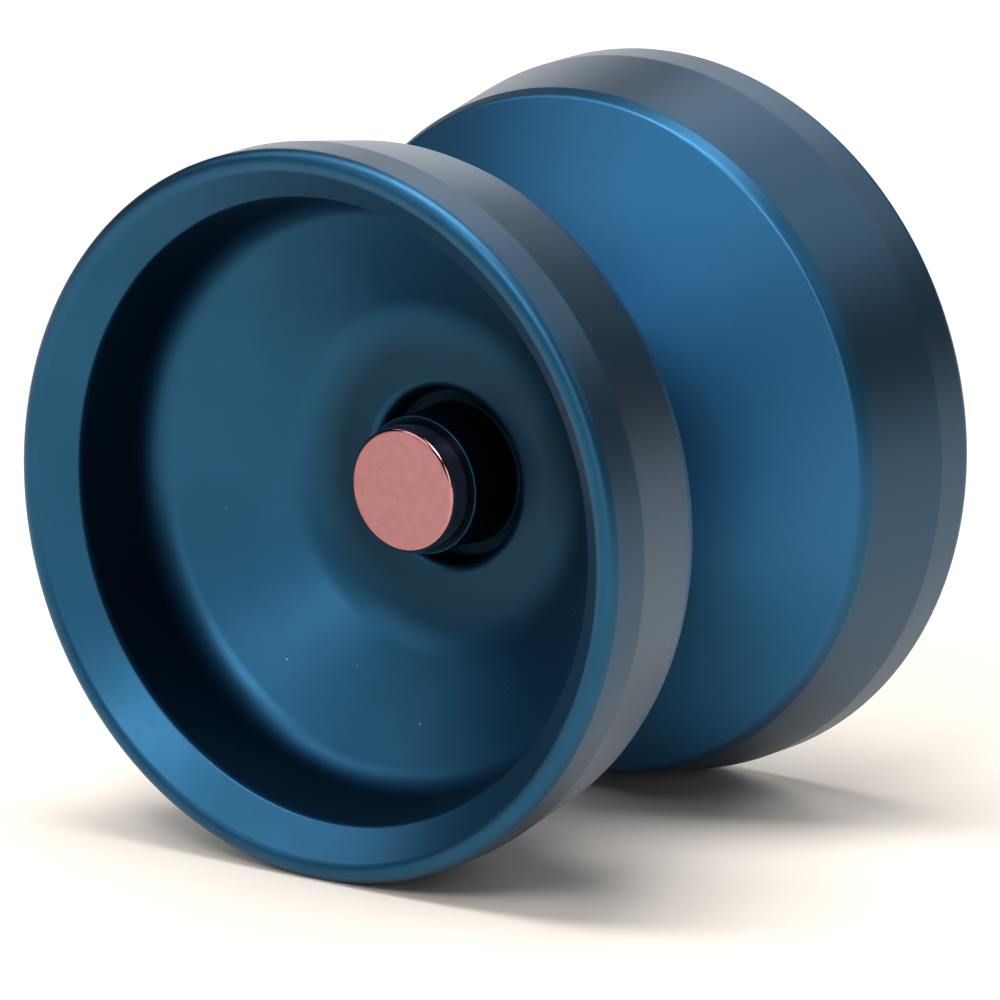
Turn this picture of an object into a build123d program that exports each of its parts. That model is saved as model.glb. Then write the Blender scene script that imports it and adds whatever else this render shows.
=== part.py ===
from build123d import *
import math
import os

# Two-piece turned yo-yo with a ball-bearing axle, in millimetres.
# The axle lies along Y, +Z is up, and the origin is the centre of the string gap.
# Every ring is drawn as a section in the XY plane, X being the radius and Y the
# distance from mid-gap, and revolved about Y. The far half is on +Y, the near on -Y.

NEAR, FAR = -1, 1
SIDES = {"near": NEAR, "far": FAR}

# --- Driving dimensions: the turned half -------------------------------------
rim_radius = 28.0
string_gap = 4.4
lip_round = 1.0
lip_bevel_deg = 42.5            # inward bevel of the lip, from the radial direction

catch_inner_radius = 10.0       # where the sloping catch face starts
catch_outer = (26.3, 10.65)     # radius, distance from mid-gap
rim_band_start = (26.75, 11.7)
rim_band_end = 19.0             # the tapered band ends and the straight band starts

cup_mouth = (24.04, 20.7)       # inner edge of the lip's bevel
cup_wall_foot = (22.4, 13.43)   # where the steep wall would meet the sloping floor
cup_floor_inner = 12.0
cup_wall_round = 3.5
cup_floor_round = 8.0
mouth_round = 0.4
hub_face = 6.4

recess_radius = 6.6
recess_floor = 4.4
recess_round = 1.0

boss_radius = 5.33              # the hub's socket stands up in the middle of the recess
boss_top = 9.64
boss_chamfer = 0.15
socket_radius = 4.5
socket_ledge = 7.4

# --- Driving dimensions: hubs, axle and pads ---------------------------------
tip_radius = 4.88
tip_face = 11.86
tip_round = 0.46
tip_underside = boss_top + 0.02
shank_radius = 4.0
seat_end = 0.15                 # the bearing seat stops just short of mid-gap

thread_radius = 2.0             # M4 x 0.7
thread_pitch = 0.7
thread_depth = 0.38
thread_clearance = 0.05
threaded_bore_end = 8.7
axle_length = 16.0
socket_across_flats = 2.0
socket_depth = 2.4

pad_inner_radius = 7.15
pad_outer_radius = 9.6
pad_thickness = 1.2
pad_sunk = 0.05
fit_clearance = 0.02

# --- Driving dimensions: the bearing (6.35 bore, 12.7 outside, 4.7625 wide) ---
bearing_bore_radius = 3.175
bearing_outer_radius = 6.35
bearing_width = 4.7625
ball_count = 8
ball_radius = 0.79375
pitch_radius = 4.7625
race_groove_radius = 0.82
race_clearance = 0.015
inner_land_radius = 4.22
outer_land_radius = 5.32
cage_inner_radius = 4.46
cage_outer_radius = 5.08
cage_back = -1.4
cage_prongs = 0.5
cage_pocket_radius = 0.87

shield_seat = (5.72, 1.85)      # radius, distance from mid-gap
shield_thickness = 0.18
shield_inner_radius = 4.34
ring_groove = (5.92, 2.05, 2.27)
ring_lip_radius = 5.78
snap_ring_inner_radius = 5.42
snap_ring_opening = 1.3

# --- Worked out from those ---------------------------------------------------
half_gap = string_gap / 2
half_bearing = bearing_width / 2
bearing_pocket_floor = half_bearing + 0.37
bearing_pocket_radius = bearing_outer_radius + 0.4
pad_groove_floor = half_gap + pad_sunk + pad_thickness
lip_corner = cup_mouth[1] + (rim_radius - cup_mouth[0]) * math.tan(math.radians(lip_bevel_deg))


def outline(corners, side=FAR):
    """Closed outline through (radius, distance from mid-gap, corner rounding) corners."""
    points = [(radius, side * distance) for radius, distance, _ in corners]
    FilletPolyline(*points, radius=[rounding for _, _, rounding in corners], close=True)


def finish(part, label):
    part.label = label
    export_step(part, f"parts/{label}.step")


def make_body_half(name, side):
    """One turned aluminium half: catch face, rim bands, lip, cup, recess and hub socket."""
    bore = shank_radius + fit_clearance
    groove_inner = pad_inner_radius - fit_clearance
    groove_outer = pad_outer_radius + fit_clearance
    gap_side = [
        (bore, bearing_pocket_floor, 0),
        (bearing_pocket_radius, bearing_pocket_floor, 0.1),
        (bearing_pocket_radius, half_gap, 0.08),
        (groove_inner, half_gap, 0.08),
        (groove_inner, pad_groove_floor, 0),
        (groove_outer, pad_groove_floor, 0),
        (groove_outer, half_gap, 0.1),
        (catch_inner_radius, half_gap, 0.4),
    ]
    rim = [
        (*catch_outer, 0.6),
        (*rim_band_start, 0.6),
        (rim_radius, rim_band_end, 2.0),
        (rim_radius, lip_corner, lip_round),
        (*cup_mouth, mouth_round),
    ]
    cup = [
        (*cup_wall_foot, cup_wall_round),
        (cup_floor_inner, hub_face, cup_floor_round),
        (recess_radius, hub_face, recess_round),
        (recess_radius, recess_floor, 0.3),
    ]
    hub_socket = [
        (boss_radius, recess_floor, 0.3),
        (boss_radius, boss_top, 0.08),
        (socket_radius + boss_chamfer, boss_top, 0),
        (socket_radius, boss_top - boss_chamfer, 0),
        (socket_radius, socket_ledge, 0),
        (bore, socket_ledge, 0),
    ]
    with BuildPart() as half:
        with BuildSketch():
            with BuildLine():
                outline(gap_side + rim + cup + hub_socket, side)
            make_face()
        revolve(axis=Axis.Y)
    finish(half.part, f"body_half_{name}")


def make_hub_stud(name, side):
    """Hub with a polished tip above its socket, a shank and the bearing seat, tapped blind."""
    seat_radius = bearing_bore_radius - fit_clearance
    tapped = thread_radius
    with BuildPart() as stud:
        with BuildSketch():
            with BuildLine():
                outline(
                    [
                        (tapped, seat_end, 0),
                        (seat_radius, seat_end, 0.2),
                        (seat_radius, half_bearing, 0),
                        (shank_radius, half_bearing, 0.1),
                        (shank_radius, socket_ledge, 0),
                        (socket_radius - fit_clearance, socket_ledge, 0.1),
                        (socket_radius - fit_clearance, tip_underside, 0),
                        (tip_radius, tip_underside, 0),
                        (tip_radius, tip_face, tip_round),
                        (0, tip_face, 0),
                        (0, threaded_bore_end + tapped / 2, 0),
                        (tapped, threaded_bore_end, 0),
                    ],
                    side,
                )
            make_face()
        revolve(axis=Axis.Y)
    finish(stud.part, f"hub_stud_{name}")


def make_response_pad(name, side):
    """Flat silicone ring in the groove beside the bearing."""
    front = half_gap + pad_sunk
    with BuildPart() as pad:
        with BuildSketch():
            with BuildLine():
                outline(
                    [
                        (pad_inner_radius, front, 0.15),
                        (pad_outer_radius, front, 0.15),
                        (pad_outer_radius, pad_groove_floor, 0),
                        (pad_inner_radius, pad_groove_floor, 0),
                    ],
                    side,
                )
            make_face()
        revolve(axis=Axis.Y)
    finish(pad.part, f"response_pad_{name}")


def make_axle():
    """Headless screw that draws the halves together, with a hexagon socket in each end."""
    crest = thread_radius - thread_clearance
    root = crest - thread_depth
    turns = int(axle_length / thread_pitch) - 1
    first = -turns * thread_pitch / 2
    end = axle_length / 2
    profile = [(0, -end), (root, -end)]
    for turn in range(turns):
        start = first + turn * thread_pitch
        profile.append((root, start + 0.06 * thread_pitch))
        profile.append((crest, start + 0.42 * thread_pitch))
        profile.append((crest, start + 0.58 * thread_pitch))
        profile.append((root, start + 0.94 * thread_pitch))
    profile += [(root, end), (0, end)]
    with BuildPart() as axle:
        with BuildSketch():
            with BuildLine():
                Polyline(*profile, close=True)
            make_face()
        revolve(axis=Axis.Y)
        for side in SIDES.values():
            with BuildSketch(Plane.XZ.offset(-side * end)):
                RegularPolygon(socket_across_flats / 2, 6, major_radius=False)
            extrude(amount=side * socket_depth, mode=Mode.SUBTRACT)
    finish(axle.part, "axle")


def make_inner_race():
    """Inner ring, with its ball groove."""
    groove_centre = pitch_radius - ball_radius - race_clearance + race_groove_radius
    with BuildPart() as race:
        with BuildSketch():
            with BuildLine():
                outline(
                    [
                        (bearing_bore_radius, -half_bearing, 0.2),
                        (inner_land_radius, -half_bearing, 0.12),
                        (inner_land_radius, half_bearing, 0.12),
                        (bearing_bore_radius, half_bearing, 0.2),
                    ]
                )
            make_face()
            with Locations((groove_centre, 0)):
                Circle(race_groove_radius, mode=Mode.SUBTRACT)
        revolve(axis=Axis.Y)
    finish(race.part, "bearing_inner_race")


def make_outer_race():
    """Outer ring, with its ball groove and the seats of both shields and snap rings."""
    groove_centre = pitch_radius + ball_radius + race_clearance - race_groove_radius
    groove_radius, groove_start, groove_end = ring_groove
    one_side = [
        (bearing_outer_radius, half_bearing, 0.25),
        (ring_lip_radius, half_bearing, 0),
        (ring_lip_radius, groove_end, 0),
        (groove_radius, groove_end, 0),
        (groove_radius, groove_start, 0),
        (shield_seat[0], groove_start, 0),
        (*shield_seat, 0),
        (outer_land_radius, shield_seat[1], 0),
    ]
    other_side = [(radius, -distance, rounding) for radius, distance, rounding in reversed(one_side)]
    with BuildPart() as race:
        with BuildSketch():
            with BuildLine():
                outline(one_side + other_side)
            make_face()
            with Locations((groove_centre, 0)):
                Circle(race_groove_radius, mode=Mode.SUBTRACT)
        revolve(axis=Axis.Y)
    finish(race.part, "bearing_outer_race")


def make_ball(number):
    """One ball of the ring, numbered from +X towards +Z."""
    angle = math.radians(360 * (number - 1) / ball_count)
    centre = (pitch_radius * math.cos(angle), 0, pitch_radius * math.sin(angle))
    with BuildPart() as ball:
        with Locations(centre):
            Sphere(ball_radius)
    finish(ball.part, f"bearing_ball_{number}")


def make_cage():
    """Crown cage: a ring whose open pockets clip over the balls from the near side."""
    radial = (0, 90, 0)
    with BuildPart() as cage:
        with BuildSketch():
            with BuildLine():
                outline(
                    [
                        (cage_inner_radius, cage_back, 0),
                        (cage_outer_radius, cage_back, 0),
                        (cage_outer_radius, cage_prongs, 0),
                        (cage_inner_radius, cage_prongs, 0),
                    ]
                )
            make_face()
        revolve(axis=Axis.Y)
        with Locations(Plane.XZ):
            with PolarLocations(pitch_radius, ball_count):
                Cylinder(cage_pocket_radius, 2, rotation=radial, mode=Mode.SUBTRACT)
    finish(cage.part, "ball_cage")


def make_shield(name, side):
    """Pressed steel washer, stepped outwards past its seat, that covers the balls."""
    seat_radius, seat = shield_seat
    step = 0.12
    back = seat + 0.005
    front = back + shield_thickness
    with BuildPart() as shield:
        with BuildSketch():
            with BuildLine():
                outline(
                    [
                        (seat_radius - fit_clearance, back, 0.04),
                        (seat_radius - fit_clearance, front, 0),
                        (5.3, front, 0),
                        (5.2, front + step, 0),
                        (shield_inner_radius, front + step, 0.05),
                        (shield_inner_radius, back + step, 0),
                        (5.17, back + step, 0),
                        (5.27, back, 0),
                    ],
                    side,
                )
            make_face()
        revolve(axis=Axis.Y)
    finish(shield.part, f"bearing_shield_{name}")


def make_snap_ring(name, side):
    """Open wire ring that springs into the outer race's groove and holds the shield."""
    groove_radius, groove_start, groove_end = ring_groove
    inner = groove_start + 0.01
    outer = groove_end - 0.01
    with BuildPart() as ring:
        with BuildSketch():
            with BuildLine():
                outline(
                    [
                        (snap_ring_inner_radius, inner, 0.05),
                        (groove_radius - fit_clearance, inner, 0.05),
                        (groove_radius - fit_clearance, outer, 0.05),
                        (snap_ring_inner_radius, outer, 0.05),
                    ],
                    side,
                )
            make_face()
        revolve(axis=Axis.Y)
        with Locations((0, side * (inner + outer) / 2, groove_radius)):
            Box(snap_ring_opening, 1, 2, mode=Mode.SUBTRACT)
    finish(ring.part, f"snap_ring_{name}")


os.makedirs("parts", exist_ok=True)
for half_name, half_side in SIDES.items():
    make_body_half(half_name, half_side)
    make_hub_stud(half_name, half_side)
    make_response_pad(half_name, half_side)
    make_shield(half_name, half_side)
    make_snap_ring(half_name, half_side)
make_axle()
make_inner_race()
make_outer_race()
make_cage()
for ball_number in range(1, ball_count + 1):
    make_ball(ball_number)
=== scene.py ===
import math

import bpy
from mathutils import Matrix, Vector

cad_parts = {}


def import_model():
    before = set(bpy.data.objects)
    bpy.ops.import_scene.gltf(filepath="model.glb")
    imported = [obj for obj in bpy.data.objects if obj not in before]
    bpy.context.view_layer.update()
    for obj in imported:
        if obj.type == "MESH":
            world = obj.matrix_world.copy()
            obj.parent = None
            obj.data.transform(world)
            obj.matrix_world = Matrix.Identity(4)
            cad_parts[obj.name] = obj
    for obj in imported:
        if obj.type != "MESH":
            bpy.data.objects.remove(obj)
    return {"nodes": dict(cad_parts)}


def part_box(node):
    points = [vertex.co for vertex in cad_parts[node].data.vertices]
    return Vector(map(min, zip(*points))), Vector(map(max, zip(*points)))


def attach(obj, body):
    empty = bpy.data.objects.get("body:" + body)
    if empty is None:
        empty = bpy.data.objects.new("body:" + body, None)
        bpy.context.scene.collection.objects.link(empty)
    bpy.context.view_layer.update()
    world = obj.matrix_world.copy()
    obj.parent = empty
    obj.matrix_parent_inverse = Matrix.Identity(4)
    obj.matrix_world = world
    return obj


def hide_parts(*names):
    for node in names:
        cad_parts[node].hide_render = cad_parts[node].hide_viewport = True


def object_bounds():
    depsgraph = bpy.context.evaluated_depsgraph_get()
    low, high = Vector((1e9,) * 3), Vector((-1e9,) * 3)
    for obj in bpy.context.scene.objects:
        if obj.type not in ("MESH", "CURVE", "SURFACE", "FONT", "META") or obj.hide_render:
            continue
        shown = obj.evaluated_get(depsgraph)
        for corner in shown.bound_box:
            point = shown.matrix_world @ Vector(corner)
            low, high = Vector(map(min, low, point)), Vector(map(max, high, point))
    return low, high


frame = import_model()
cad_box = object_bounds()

# Turned anodised yo-yo on a white table. The axle lies along Y; the near half is on -Y.
# Sections are (radius, distance from mid-gap, corner rounding) in millimetres.
MM = 0.001
SEGMENTS = 224
ARC_STEP = math.radians(6)
SHORTEST = 1e-5                       # a flat shorter than this is left out
ON_AXLE = 1e-6                        # a radius below this is the axle itself
SIDES = {"near": -1, "far": 1}


# --- Turned shapes -------------------------------------------------------------------

def corner_arc(before, corner, after, radius):
    """(point, normal) pairs along the arc that rounds one corner of a section."""
    to_before = (before - corner).normalized()
    to_after = (after - corner).normalized()
    half_angle = math.acos(max(-1, min(1, to_before.dot(to_after)))) / 2
    reach = radius / math.tan(half_angle)
    centre = corner + (to_before + to_after).normalized() * (radius / math.sin(half_angle))
    first = corner + to_before * reach - centre
    last = corner + to_after * reach - centre
    sweep = math.atan2(first.x * last.y - first.y * last.x, first.dot(last))
    steps = max(3, math.ceil(abs(sweep) / ARC_STEP))
    arms = [Matrix.Rotation(sweep * i / steps, 2) @ first for i in range(steps + 1)]
    return [(centre + arm, arm.normalized()) for arm in arms]


def section_pieces(corners):
    """The closed section as short pieces: (start, normal there, end, normal there)."""
    points = [Vector(corner[:2]) for corner in corners]
    count = len(points)
    arcs = []
    for i, (_, _, rounding) in enumerate(corners):
        if rounding:
            arcs.append(corner_arc(points[i - 1], points[i], points[(i + 1) % count], rounding))
        else:
            arcs.append([(points[i], None)])
    pieces = []
    for i, arc in enumerate(arcs):
        for (start, start_normal), (end, end_normal) in zip(arc, arc[1:]):
            pieces.append((start, start_normal, end, end_normal))
        start, end = arc[-1][0], arcs[(i + 1) % count][0][0]
        if (end - start).length > SHORTEST:
            normal = Vector((start.y - end.y, end.x - start.x)).normalized()
            pieces.append((start, normal, end, normal))
    return pieces


def new_object(name, vertices, faces):
    mesh = bpy.data.meshes.new(name)
    mesh.from_pydata(vertices, [], faces)
    piece = bpy.data.objects.new(name, mesh)
    bpy.context.scene.collection.objects.link(piece)
    return piece


def lathe(name, corners, side=1):
    """Revolves a section about Y, with the true normals of its flats, cones and roundings."""
    pieces = section_pieces(corners)
    turn = [2 * math.pi * k / SEGMENTS for k in range(SEGMENTS)]
    vertices, rings = [], []
    for start, *_ in pieces:
        radius, y = start.x * MM, side * start.y * MM
        if start.x < ON_AXLE:
            rings.append([len(vertices)] * SEGMENTS)
            vertices.append((0, y, 0))
        else:
            rings.append(list(range(len(vertices), len(vertices) + SEGMENTS)))
            vertices += [(radius * math.cos(t), y, radius * math.sin(t)) for t in turn]
    faces, normals = [], []
    for i, (start, start_normal, end, end_normal) in enumerate(pieces):
        if start.x < ON_AXLE and end.x < ON_AXLE:
            continue
        low, high = rings[i], rings[(i + 1) % len(pieces)]
        for k in range(SEGMENTS):
            m = (k + 1) % SEGMENTS
            middle = turn[k] + math.pi / SEGMENTS
            after = turn[k] + 2 * math.pi / SEGMENTS
            loop = [(low[k], turn[k], start_normal), (low[m], after, start_normal),
                    (high[m], after, end_normal), (high[k], turn[k], end_normal)]
            if start.x < ON_AXLE:
                loop = [(low[k], middle, start_normal)] + loop[2:]
            if end.x < ON_AXLE:
                loop = loop[:2] + [(high[k], middle, end_normal)]
            along = (end - start).normalized()
            outward = Vector((along.y, -along.x))
            if side > 0:
                loop.reverse()
            faces.append([vertex for vertex, _, _ in loop])
            for _, angle, flat in loop:
                sign = 1 if flat.dot(outward) > 0 else -1
                normals.append((sign * flat.x * math.cos(angle), sign * side * flat.y,
                                sign * flat.x * math.sin(angle)))
    piece = new_object(name, vertices, faces)
    piece.data.shade_smooth()
    piece.data.normals_split_custom_set(normals)
    return piece


def place(piece, node, body, slot, materials):
    """The finished piece stands for its CAD node, rides on its body and wears its materials."""
    for material in materials:
        piece.data.materials.append(material)
    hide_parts(node)
    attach(piece, body)
    return piece


# --- Node helpers --------------------------------------------------------------------

class Shader:
    """A Principled material and short ways to add the nodes that feed it."""

    def __init__(self, name, colour, metallic, roughness):
        self.material = bpy.data.materials.new(name)
        self.material.use_nodes = True
        self.nodes = self.material.node_tree.nodes
        self.links = self.material.node_tree.links
        self.bsdf = self.nodes["Principled BSDF"]
        self.set("Base Color", (*colour, 1))
        self.set("Metallic", metallic)
        self.set("Roughness", roughness)
        self.place = self.nodes.new("ShaderNodeTexCoord").outputs["Object"]

    def set(self, socket, value):
        self.bsdf.inputs[socket].default_value = value

    def link(self, output, socket):
        self.links.new(output, self.bsdf.inputs[socket])

    def node(self, kind, inputs=None, **settings):
        made = self.nodes.new(kind)
        for setting, value in settings.items():
            setattr(made, setting, value)
        for socket, value in (inputs or {}).items():
            if isinstance(value, bpy.types.NodeSocket):
                self.links.new(value, made.inputs[socket])
            else:
                made.inputs[socket].default_value = value
        return made

    def noise(self, size, detail=2.0, vector=None):
        """Noise whose features are about size millimetres across."""
        vector = vector or self.place
        return self.node("ShaderNodeTexNoise", {"Vector": vector, "Scale": 1 / (size * MM),
                                                "Detail": detail}).outputs["Fac"]

    def spread(self, value, low, high, to_low, to_high):
        """Maps low..high of a value onto to_low..to_high."""
        return self.node("ShaderNodeMapRange", {"Value": value, "From Min": low, "From Max": high,
                                                "To Min": to_low, "To Max": to_high}).outputs["Result"]

    def mix(self, factor, first, second):
        mixer = self.node("ShaderNodeMix", data_type="RGBA")
        for socket, value in (("Factor", factor), ("A", first), ("B", second)):
            target = next(s for s in mixer.inputs if s.name == socket and
                          s.type == ("VALUE" if socket == "Factor" else "RGBA"))
            if isinstance(value, bpy.types.NodeSocket):
                self.links.new(value, target)
            else:
                target.default_value = (*value, 1) if socket != "Factor" else value
        return next(s for s in mixer.outputs if s.type == "RGBA")

    def bump(self, height, distance, strength):
        """Relief of a height, distance millimetres deep."""
        inputs = {"Height": height, "Distance": distance * MM, "Strength": strength}
        return self.node("ShaderNodeBump", inputs).outputs["Normal"]

    def math(self, operation, *values):
        """One to three values through a Math node."""
        inputs = dict(enumerate(values))
        return self.node("ShaderNodeMath", inputs, operation=operation).outputs["Value"]

    def product(self, first, second):
        return self.math("MULTIPLY", first, second)

    def radius_and_along(self):
        """Distance from the axle and place along it, in metres."""
        parts = self.node("ShaderNodeSeparateXYZ", {"Vector": self.place}).outputs
        flat = self.node("ShaderNodeCombineXYZ", {"X": parts["X"], "Z": parts["Z"]})
        length = self.node("ShaderNodeVectorMath", {0: flat.outputs["Vector"]}, operation="LENGTH")
        return length.outputs["Value"], parts["Y"]

    def radius_and_distance(self):
        """Distance from the axle and from mid-gap, in millimetres."""
        radius, along = self.radius_and_along()
        return [self.product(value, 1 / MM) for value in (radius, self.math("ABSOLUTE", along))]

    def window(self, value, start, full, fade, end):
        """1 between full and fade, falling to 0 at start and at end."""
        return self.product(self.spread(value, start, full, 0, 1),
                            self.spread(value, fade, end, 1, 0))

    def zone(self, place, spans):
        """1 inside a ring-shaped zone, given by its window of radius and of distance."""
        return self.product(*(self.window(value, *span) for value, span in zip(place, spans)))

    def specks(self, spacing, size):
        """1 inside sparse round specks, size millimetres across, and 0 elsewhere."""
        cells = self.node("ShaderNodeTexVoronoi", {"Vector": self.place, "Scale": 1 / (spacing * MM)})
        reach = size / spacing / 2
        return self.spread(cells.outputs["Distance"], reach * 0.6, reach, 1, 0)


# --- Materials -----------------------------------------------------------------------

BLUE = (0.011, 0.078, 0.158)
BLUE_LIGHT = (0.013, 0.086, 0.173)
# Painted light: a lighter blue for the catch faces.
BLUE_CATCH_PAINTED_LIGHT = (0.022, 0.128, 0.270)
# Painted shade: a darker blue for the rim band.
BLUE_BAND_PAINTED_SHADE = (0.014, 0.058, 0.112)
# Painted shade: near-black blue for the cup wall, recess, boss top and hub flat.
BLUE_PAINTED_SHADE = (0.003, 0.006, 0.008)
DUST = (0.75, 0.78, 0.78)
PINK = (0.48, 0.215, 0.225)
PINK_DARK = (0.36, 0.15, 0.15)


# Zones of the blue metal with painted light on the catch faces and painted shade on the rim band, cup
# wall, recess, boss top and hub flat, chosen to match the photograph's light and shade.
# Each span fades in, is full, fades out and ends, in millimetres from the axle or from mid-gap.
CATCH_FACE_SPAN = (12.0, 20.0, 26.1, 26.5)
BAND_ZONE = ((26.6, 26.9, 28.3, 28.4), (11.2, 11.8, 21.5, 22.8))
# Painted shade: the cup wall, recess, boss top and hub flat are made darker.
WALL_SHADE_ZONE = ((22.3, 22.9, 24.1, 24.35), (13.6, 15.2, 20.2, 20.6))
RECESS_SHADE_ZONE = ((3.0, 3.1, 6.5, 7.0), (4.0, 4.1, 9.5, 9.6))
BOSS_TOP_SHADE_ZONE = ((3.0, 3.1, 5.2, 5.3), (9.4, 9.5, 9.8, 9.9))
FLAT_SHADE_ZONE = ((7.0, 7.6, 10.0, 13.5), (6.0, 6.2, 6.6, 7.6))
CATCH_SLOPE = 0.6                     # distance less this times the radius tells the catch face
CATCH_FADE = (-3.0, -2.3)             # from the cup's floor, where it is above this range
# Strength of the painted shade on the hub flat, cup wall and recess.
FLAT_PAINTED_SHADE, WALL_PAINTED_SHADE, RECESS_PAINTED_SHADE = 0.55, 0.72, 0.92
COAT, BAND_COAT = 0.2, 0.45
COAT_GONE = 0.75                      # how strong the painted shade is where the coat has faded out


def anodised_blue():
    """Finely blasted aluminium under a dark blue layer, with painted light on the catch faces and
    painted shade on the rim band, cup wall, recess and hub flat.
    """
    blue = Shader("anodised_blue", BLUE, 1.0, 0.42)
    cloud = blue.spread(blue.noise(5.0), 0.35, 0.65, 0, 1)
    place = radius, distance = blue.radius_and_distance()
    rise = blue.math("MULTIPLY_ADD", radius, -CATCH_SLOPE, distance)
    # Painted light: the catch faces, and not the cup's floor, take the lighter blue.
    painted_catch_light = blue.product(blue.window(radius, *CATCH_FACE_SPAN),
                              blue.spread(rise, *CATCH_FADE, 1, 0))
    band = blue.zone(place, BAND_ZONE)
    # Painted shade in the cup wall, the recess and the boss top.
    recess = blue.math("MAXIMUM", blue.zone(place, BOSS_TOP_SHADE_ZONE), blue.zone(place, RECESS_SHADE_ZONE))
    painted_hollow_shade = blue.math("MAXIMUM", blue.product(blue.zone(place, WALL_SHADE_ZONE), WALL_PAINTED_SHADE),
                     blue.product(recess, RECESS_PAINTED_SHADE))
    shade = blue.mix(cloud, BLUE, BLUE_LIGHT)
    shade = blue.mix(painted_catch_light, shade, BLUE_CATCH_PAINTED_LIGHT)
    # Painted shade: the rim band's base colour is darker.
    shade = blue.mix(band, shade, BLUE_BAND_PAINTED_SHADE)
    # Painted shade on the hub flat.
    shade = blue.mix(blue.product(blue.zone(place, FLAT_SHADE_ZONE), FLAT_PAINTED_SHADE), shade, BLUE_PAINTED_SHADE)
    shade = blue.mix(painted_hollow_shade, shade, BLUE_PAINTED_SHADE)
    blue.link(blue.mix(blue.specks(4.0, 0.13), shade, DUST), "Base Color")
    blue.link(blue.spread(blue.noise(0.25), 0.3, 0.7, 0.40, 0.45), "Roughness")
    blue.link(blue.bump(blue.noise(0.11), 0.004, 0.35), "Normal")
    blue.set("Coat Roughness", 0.4)
    # The coat is heavier on the rim band and fades out under the painted shade.
    blue.link(blue.product(blue.spread(band, 0, 1, COAT, BAND_COAT),
                           blue.spread(painted_hollow_shade, 0, COAT_GONE, 1, 0)), "Coat Weight")
    return blue.material


def anodised_pink(name, roughness, grain):
    """Turned pink aluminium; the face is finely blasted with dark pits, the edge is polished."""
    pink = Shader(name, PINK, 1.0, roughness)
    pits = pink.specks(0.55, 0.1)
    cloud = pink.spread(pink.noise(0.8), 0.35, 0.65, 0, 0.35)
    shade = pink.mix(cloud, PINK, PINK_DARK)
    if grain:
        shade = pink.mix(pits, shade, PINK_DARK)
        pink.link(pink.bump(pink.noise(0.07), 0.004, grain), "Normal")
    pink.link(shade, "Base Color")
    pink.set("Coat Weight", 0.3)
    pink.set("Coat Roughness", 0.1)
    return pink.material


def turned_steel(name, colour, roughness, spacing=0.03, depth=0.0006):
    """Ground or turned steel: fine lines that run round the axle."""
    steel = Shader(name, colour, 1.0, roughness)
    radius, along = steel.radius_and_along()
    lines = steel.node("ShaderNodeCombineXYZ", {"X": radius, "Y": along})
    grind = steel.noise(spacing, 1.0, lines.outputs["Vector"])
    steel.link(steel.bump(grind, depth, 0.6), "Normal")
    steel.link(steel.spread(grind, 0.3, 0.7, roughness * 0.8, roughness * 1.25), "Roughness")
    return steel.material


def silicone():
    """Soft translucent white response pad."""
    pad = Shader("white_silicone", (0.78, 0.79, 0.77), 0.0, 0.5)
    pad.link(pad.bump(pad.noise(0.12), 0.01, 0.3), "Normal")
    pad.link(pad.mix(pad.noise(1.5), (0.74, 0.75, 0.73), (0.82, 0.83, 0.81)), "Base Color")
    pad.set("Subsurface Weight", 0.25)
    pad.set("Subsurface Radius", (0.0012, 0.001, 0.0009))
    return pad.material


# --- The turned halves ---------------------------------------------------------------

RIM_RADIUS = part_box("body_half_far")[1].x / MM
HALF_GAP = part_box("body_half_far")[0].y / MM
CATCH_OUTER = (26.3, 10.65)
BAND_START = (26.75, 11.7)
BAND_END = 19.0
LIP_ROUND = 1.0
LIP_BEVEL = math.radians(42.5)
CUP_MOUTH = (24.04, 20.7)
WALL_FOOT = (22.4, 13.43)
FLOOR_INNER = 12.0
HUB_FACE = 6.4
RECESS_RADIUS = 6.6
RECESS_FLOOR = 4.4
BOSS = (5.33, 9.64)                   # the hub's socket stands up in the recess
SOCKET = (4.5, 7.4)
BORE_RADIUS = 4.02
PAD = (7.15, 9.6, 2.25, 3.45)         # inner and outer radius, front and back
PAD_CLEARANCE = 0.02
FLAT_END = 10.0                       # the narrow flat outside the pad, where the catch face starts
BEARING_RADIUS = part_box("bearing_outer_race")[1].x / MM
HALF_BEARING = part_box("bearing_outer_race")[1].y / MM
POCKET_CLEARANCE = 0.4
POCKET_FLOOR = HALF_BEARING + 0.37


def body_half(side):
    lip_corner = CUP_MOUTH[1] + (RIM_RADIUS - CUP_MOUTH[0]) * math.tan(LIP_BEVEL)
    pad_inner, pad_outer, _, pad_back = PAD
    return lathe("body_half", [
        (BORE_RADIUS, POCKET_FLOOR, 0),
        (BEARING_RADIUS + POCKET_CLEARANCE, POCKET_FLOOR, 0.1),
        (BEARING_RADIUS + POCKET_CLEARANCE, HALF_GAP, 0.08),
        (pad_inner - PAD_CLEARANCE, HALF_GAP, 0.08),
        (pad_inner - PAD_CLEARANCE, pad_back, 0.02),
        (pad_outer + PAD_CLEARANCE, pad_back, 0.02),
        (pad_outer + PAD_CLEARANCE, HALF_GAP, 0.1),
        (FLAT_END, HALF_GAP, 0.4),
        (*CATCH_OUTER, 0.6),
        (*BAND_START, 0.6),
        (RIM_RADIUS, BAND_END, 2.0),
        (RIM_RADIUS, lip_corner, LIP_ROUND),
        (*CUP_MOUTH, 0.4),
        (*WALL_FOOT, 3.5),
        (FLOOR_INNER, HUB_FACE, 8.0),
        (RECESS_RADIUS, HUB_FACE, 1.0),
        (RECESS_RADIUS, RECESS_FLOOR, 0.3),
        (BOSS[0], RECESS_FLOOR, 0.3),
        (*BOSS, 0.08),
        (SOCKET[0], BOSS[1], 0.15),
        (*SOCKET, 0.05),
        (BORE_RADIUS, SOCKET[1], 0.05),
    ], side)


# --- Hubs, pads and axle -------------------------------------------------------------

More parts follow.
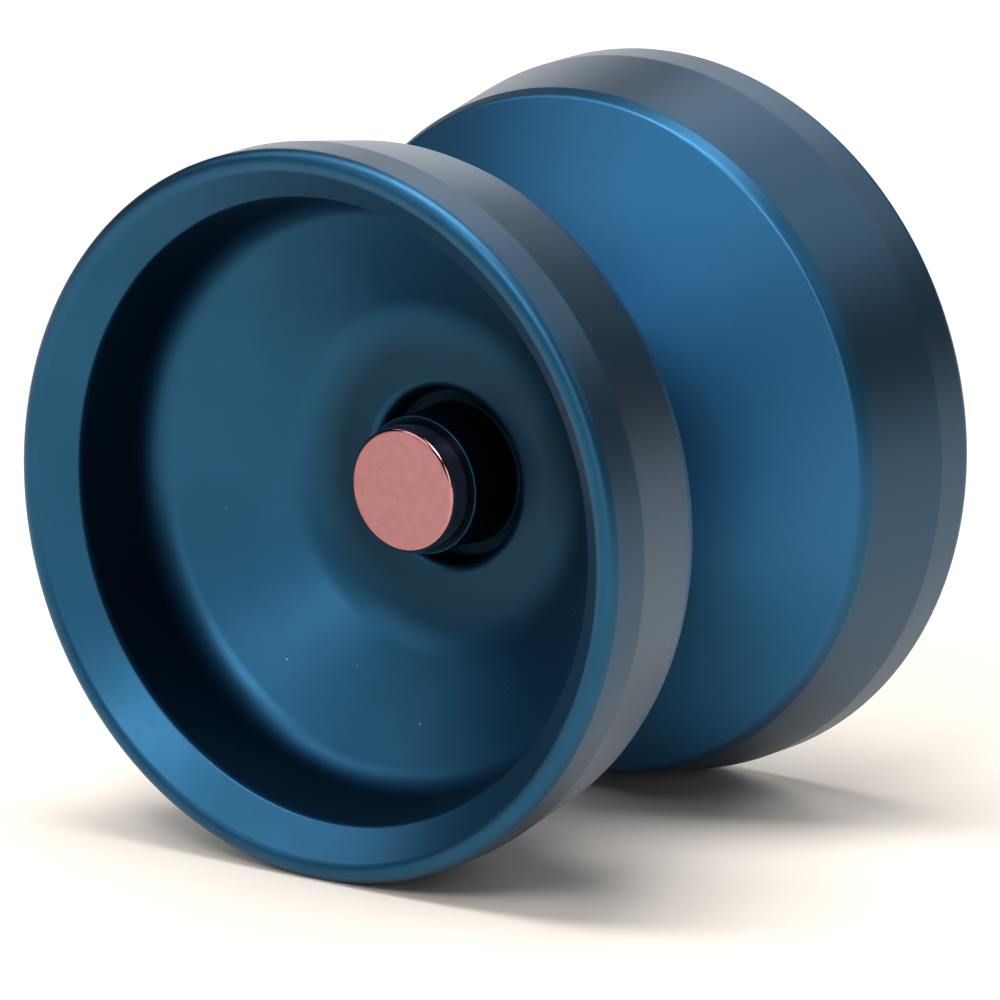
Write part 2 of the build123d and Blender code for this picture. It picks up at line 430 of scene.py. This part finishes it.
TIP_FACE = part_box("hub_stud_far")[1].y / MM
TIP_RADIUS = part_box("hub_stud_far")[1].x / MM
SHANK_RADIUS = 4.0
SEAT_RADIUS = 3.155
SEAT_END = 0.15
THREAD_BORE = (2.0, 8.7)
THREAD_PITCH = 0.7
THREAD_DEPTH = 0.38
AXLE_CREST = 1.95
HUB_CLEARANCE = 0.02
FACE_DEPTH = 0.02                     # the satin face reaches this far round the edge


def hub_stud(side):
    bore, bore_end = THREAD_BORE
    return lathe("hub_stud", [
        (bore, SEAT_END, 0.08),
        (SEAT_RADIUS, SEAT_END, 0.2),
        (SEAT_RADIUS, HALF_BEARING, 0.03),
        (SHANK_RADIUS, HALF_BEARING, 0.1),
        (SHANK_RADIUS, SOCKET[1], 0.03),
        (SOCKET[0] - HUB_CLEARANCE, SOCKET[1], 0.1),
        (SOCKET[0] - HUB_CLEARANCE, BOSS[1] + HUB_CLEARANCE, 0),
        (TIP_RADIUS, BOSS[1] + HUB_CLEARANCE, 0),
        (TIP_RADIUS, TIP_FACE, 0.46),
        (0, TIP_FACE, 0),
        (0, bore_end + 1, 0),
        (bore, bore_end, 0),
    ], side)


def satin_face(piece, side):
    """The hub's flat face takes the second material; its edge keeps the polished one."""
    for polygon in piece.data.polygons:
        if side * polygon.center.y > (TIP_FACE - FACE_DEPTH) * MM:
            polygon.material_index = 1


def response_pad(side):
    inner, outer, front, back = PAD
    return lathe("response_pad", [(inner, front, 0.18), (outer, front, 0.18),
                                  (outer, back, 0.05), (inner, back, 0.05)], side)


def axle():
    """Set screw with a true helical thread and a hexagon socket in each end."""
    around, per_pitch = 96, 10
    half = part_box("axle")[1].y / MM
    root = AXLE_CREST - THREAD_DEPTH
    flat_to_centre = 1.0
    socket_depth = 2.4
    rows = round(2 * half / THREAD_PITCH * per_pitch)

    def thread(angle, y):
        phase = (y / THREAD_PITCH - angle / (2 * math.pi)) % 1
        height = min(1, max(0, abs(phase - 0.5) * 2.8 - 0.2))
        chamfer = min(1, max(0, (half - abs(y) - 0.1) / 0.5))
        return root + THREAD_DEPTH * height * chamfer

    def socket(angle, _):
        return flat_to_centre / math.cos(angle % (math.pi / 3) - math.pi / 6)

    rings = [(socket, half - socket_depth), (socket, half)]
    rings += [(thread, half - 2 * half * i / rows) for i in range(rows + 1)]
    rings += [(socket, -half), (socket, socket_depth - half)]
    vertices, faces = [], []
    for shape, y in rings:
        for k in range(around):
            angle = 2 * math.pi * k / around
            radius = shape(angle, y) * MM
            vertices.append((radius * math.cos(angle), y * MM, radius * math.sin(angle)))
    for i in range(len(rings) - 1):
        for k in range(around):
            m = (k + 1) % around
            faces.append((i * around + k, i * around + m,
                          (i + 1) * around + m, (i + 1) * around + k))
    faces.append(tuple(range(around))[::-1])
    faces.append(tuple(range((len(rings) - 1) * around, len(rings) * around)))
    piece = new_object("axle_screw_thread", vertices, faces)
    piece.data.shade_smooth()
    piece.data.set_sharp_from_angle(angle=math.radians(35))
    return piece


# --- The bearing ---------------------------------------------------------------------

INNER_BORE = 3.175
GROOVE_RADIUS = 0.82
GROOVE_STEPS = 12
INNER_GROOVE = 4.775                  # radius of the groove's centre in each race
OUTER_GROOVE = 4.75
INNER_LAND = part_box("bearing_inner_race")[1].x / MM
OUTER_LAND = 5.32
SHIELD_SEAT = (5.72, 1.85)
RING_GROOVE = (5.92, 2.05, 2.27)
RING_LIP = 5.78
SNAP_RING_OPENING = math.radians(12.5)


def groove(centre, land, towards_axle):
    """Corner points of a ball groove's arc, from the +Y side of the race to the other."""
    reach = math.acos(abs(land - centre) / GROOVE_RADIUS)
    sign = -1 if towards_axle else 1
    angles = [reach - 2 * reach * i / GROOVE_STEPS for i in range(GROOVE_STEPS + 1)]
    return [(centre + sign * GROOVE_RADIUS * math.cos(a), GROOVE_RADIUS * math.sin(a), 0)
            for a in angles]


def inner_race():
    return lathe("inner_race", [
        (INNER_BORE, -HALF_BEARING, 0.2),
        (INNER_LAND, -HALF_BEARING, 0.12),
        *reversed(groove(INNER_GROOVE, INNER_LAND, True)),
        (INNER_LAND, HALF_BEARING, 0.12),
        (INNER_BORE, HALF_BEARING, 0.2),
    ])


def outer_race():
    groove_radius, groove_start, groove_end = RING_GROOVE
    upper = [
        (BEARING_RADIUS, HALF_BEARING, 0.25),
        (RING_LIP, HALF_BEARING, 0.04),
        (RING_LIP, groove_end, 0),
        (groove_radius, groove_end, 0),
        (groove_radius, groove_start, 0),
        (SHIELD_SEAT[0], groove_start, 0),
        (*SHIELD_SEAT, 0),
        (OUTER_LAND, SHIELD_SEAT[1], 0),
    ]
    lower = [(radius, -distance, rounding) for radius, distance, rounding in reversed(upper)]
    return lathe("outer_race", [*upper, *groove(OUTER_GROOVE, OUTER_LAND, False), *lower])


def shield(side):
    back, thick, step = SHIELD_SEAT[1] + 0.005, 0.18, 0.12
    return lathe("shield", [
        (5.70, back, 0.04),
        (5.70, back + thick, 0.04),
        (5.3, back + thick, 0.1),
        (5.2, back + thick + step, 0.1),
        (4.34, back + thick + step, 0.05),
        (4.34, back + step, 0.02),
        (5.17, back + step, 0.03),
        (5.27, back, 0.03),
    ], side)


def snap_ring(side):
    """Open spring ring: a swept rectangle with square ends."""
    groove_radius, groove_start, groove_end = RING_GROOVE
    inner, outer = 5.42, groove_radius - 0.02
    front, back = groove_start + 0.01, groove_end - 0.01
    section = [(inner, front), (outer, front), (outer, back), (inner, back)]
    steps = 160
    start = math.pi / 2 + SNAP_RING_OPENING / 2
    sweep = 2 * math.pi - SNAP_RING_OPENING
    vertices, faces = [], []
    for i in range(steps + 1):
        angle = start + sweep * i / steps
        vertices += [(r * MM * math.cos(angle), side * y * MM, r * MM * math.sin(angle))
                     for r, y in section]
    for i in range(steps):
        for k in range(4):
            m = (k + 1) % 4
            faces.append((4 * i + k, 4 * i + m, 4 * i + 4 + m, 4 * i + 4 + k))
    faces += [(3, 2, 1, 0), tuple(4 * steps + k for k in range(4))]
    if side < 0:
        faces = [face[::-1] for face in faces]
    piece = new_object("snap_ring", vertices, faces)
    bevel = piece.modifiers.new("edge", "BEVEL")
    bevel.width, bevel.segments = 0.03 * MM, 2
    piece.data.shade_smooth()
    piece.data.set_sharp_from_angle(angle=math.radians(35))
    return piece


# --- Build ---------------------------------------------------------------------------

def build():
    blue = anodised_blue()
    polished = anodised_pink("pink_polished", 0.12, 0)
    satin = anodised_pink("pink_satin", 0.42, 0.5)
    race_steel = turned_steel("ground_steel", (0.62, 0.62, 0.63), 0.24)
    sheet_steel = turned_steel("pressed_steel", (0.66, 0.66, 0.66), 0.3, 0.15, 0.001)
    spring_steel = turned_steel("spring_steel", (0.42, 0.42, 0.43), 0.28, 0.05)
    screw_steel = turned_steel("dark_screw_steel", (0.20, 0.20, 0.21), 0.34, 0.06)
    ball_steel = turned_steel("polished_ball_steel", (0.75, 0.75, 0.76), 0.07, 0.2, 0.0001)
    pad = silicone()
    for name, side in SIDES.items():
        body = f"{name}_half"
        half = place(body_half(side), f"body_half_{name}", body, "anodised_body", [blue])
        stud = place(hub_stud(side), f"hub_stud_{name}", body, "anodised_hub", [polished, satin])
        satin_face(stud, side)
        ring = place(response_pad(side), f"response_pad_{name}", body, "pad_silicone", [pad])
        cover = place(shield(side), f"bearing_shield_{name}", "bearing_outer", "shield_steel",
                      [sheet_steel])
        clip = place(snap_ring(side), f"snap_ring_{name}", "bearing_outer", "spring_steel",
                     [spring_steel])
        for piece in (half, stud, ring, cover, clip):
            piece.name = f"{piece.name}_{name}_finished"
    place(axle(), "axle", "axle_screw", "screw_steel", [screw_steel])
    place(inner_race(), "bearing_inner_race", "near_half", "race_steel", [race_steel])
    place(outer_race(), "bearing_outer_race", "bearing_outer", "race_steel", [race_steel])
    for name, node in frame["nodes"].items():
        if name.startswith("bearing_ball"):
            node.material_slots[0].material = ball_steel
        elif name == "ball_cage":
            node.material_slots[0].material = sheet_steel


# --- Stage, light and camera ---------------------------------------------------------

WHITE = (0.86, 0.79, 0.715)
BACKDROP = (1.08, 1.05, 1.03)
LIGHT_DISTANCE = 1.6
HORIZON_FADE = 0.06                   # how far above the horizon the world has gone dark


def direction(azimuth, elevation):
    a, e = math.radians(azimuth), math.radians(elevation)
    return Vector((math.sin(a) * math.cos(e), -math.cos(a) * math.cos(e), math.sin(e)))


def floor():
    """White table whose far part glows like a lit backdrop, so it runs evenly to the horizon."""
    size = 8.0
    corners = [(-size, -size, 0), (size, -size, 0), (size, size, 0), (-size, size, 0)]
    piece = new_object("table", corners, [(0, 1, 2, 3)])
    piece.location.z = cad_box[0].z
    paint = Shader("white_table", WHITE, 0.0, 0.6)
    paint.set("Specular IOR Level", 0.2)
    reach = paint.node("ShaderNodeVectorMath", {0: paint.place}, operation="LENGTH")
    paint.set("Emission Color", (*BACKDROP, 1))
    paint.link(paint.spread(reach.outputs["Value"], 0.5, 2.0, 0, 1), "Emission Strength")
    piece.data.materials.append(paint.material)


def softbox(name, azimuth, elevation, size, power):
    """A square white area light that faces the object."""
    towards = direction(azimuth, elevation)
    data = bpy.data.lights.new(name, "AREA")
    data.shape = "RECTANGLE"
    data.size = data.size_y = size
    data.energy = power
    light = bpy.data.objects.new(name, data)
    light.location = towards * LIGHT_DISTANCE
    light.rotation_euler = towards.to_track_quat("Z", "Y").to_euler()
    bpy.context.scene.collection.objects.link(light)


def world():
    """Dark above the horizon; below it the world goes on as the table's far part."""
    made = bpy.data.worlds.new("room")
    made.use_nodes = True
    nodes, links = made.node_tree.nodes, made.node_tree.links
    background = nodes["Background"]
    background.inputs["Color"].default_value = (*BACKDROP, 1)
    parts = nodes.new("ShaderNodeSeparateXYZ")
    links.new(nodes.new("ShaderNodeTexCoord").outputs["Generated"], parts.inputs[0])
    fade = nodes.new("ShaderNodeMapRange")
    for socket, value in (("From Min", 0.0), ("From Max", HORIZON_FADE),
                          ("To Min", 1.0), ("To Max", 0.0)):
        fade.inputs[socket].default_value = value
    links.new(parts.outputs["Z"], fade.inputs["Value"])
    links.new(fade.outputs["Result"], background.inputs["Strength"])
    bpy.context.scene.world = made


def camera():
    """The photograph's view, at a distance and moved a little right and up, in metres."""
    azimuth, elevation = 36.92, 13.97
    distance, right, up = 1.04825, 0.000303, -0.002996
    towards = direction(azimuth, elevation)
    across = Vector((math.cos(math.radians(azimuth)), math.sin(math.radians(azimuth)), 0))
    data = bpy.data.cameras.new("camera")
    data.lens = 496.8
    data.sensor_width = 36
    data.clip_start, data.clip_end = 0.05, 30
    eye = bpy.data.objects.new("camera", data)
    eye.location = towards * distance + across * right + towards.cross(across) * up
    eye.rotation_euler = towards.to_track_quat("Z", "Y").to_euler()
    bpy.context.scene.collection.objects.link(eye)
    bpy.context.scene.camera = eye


camera()
build()
floor()
world()
softbox("top_softbox", 37, 89, 0.75, 18)
softbox("high_left", 307, 70, 0.5, 6.5)
softbox("high_key", 14, 56, 0.5, 2.2)
softbox("front_key", 20, 42, 0.5, 7.5)
softbox("front_left", 336, 28, 0.75, 3.2)
softbox("front_low", 37, 14, 0.6, 2.5)
softbox("left_softbox", 292, 46, 0.75, 4.4)
softbox("right_softbox", 104, 42, 0.75, 2.6)
softbox("back_right", 150, 42, 0.75, 3.4)
softbox("back_softbox", 194, 42, 0.75, 4.0)
softbox("backdrop", 217, 14, 0.75, 2.6)
bpy.context.scene.view_settings.view_transform = "Standard"
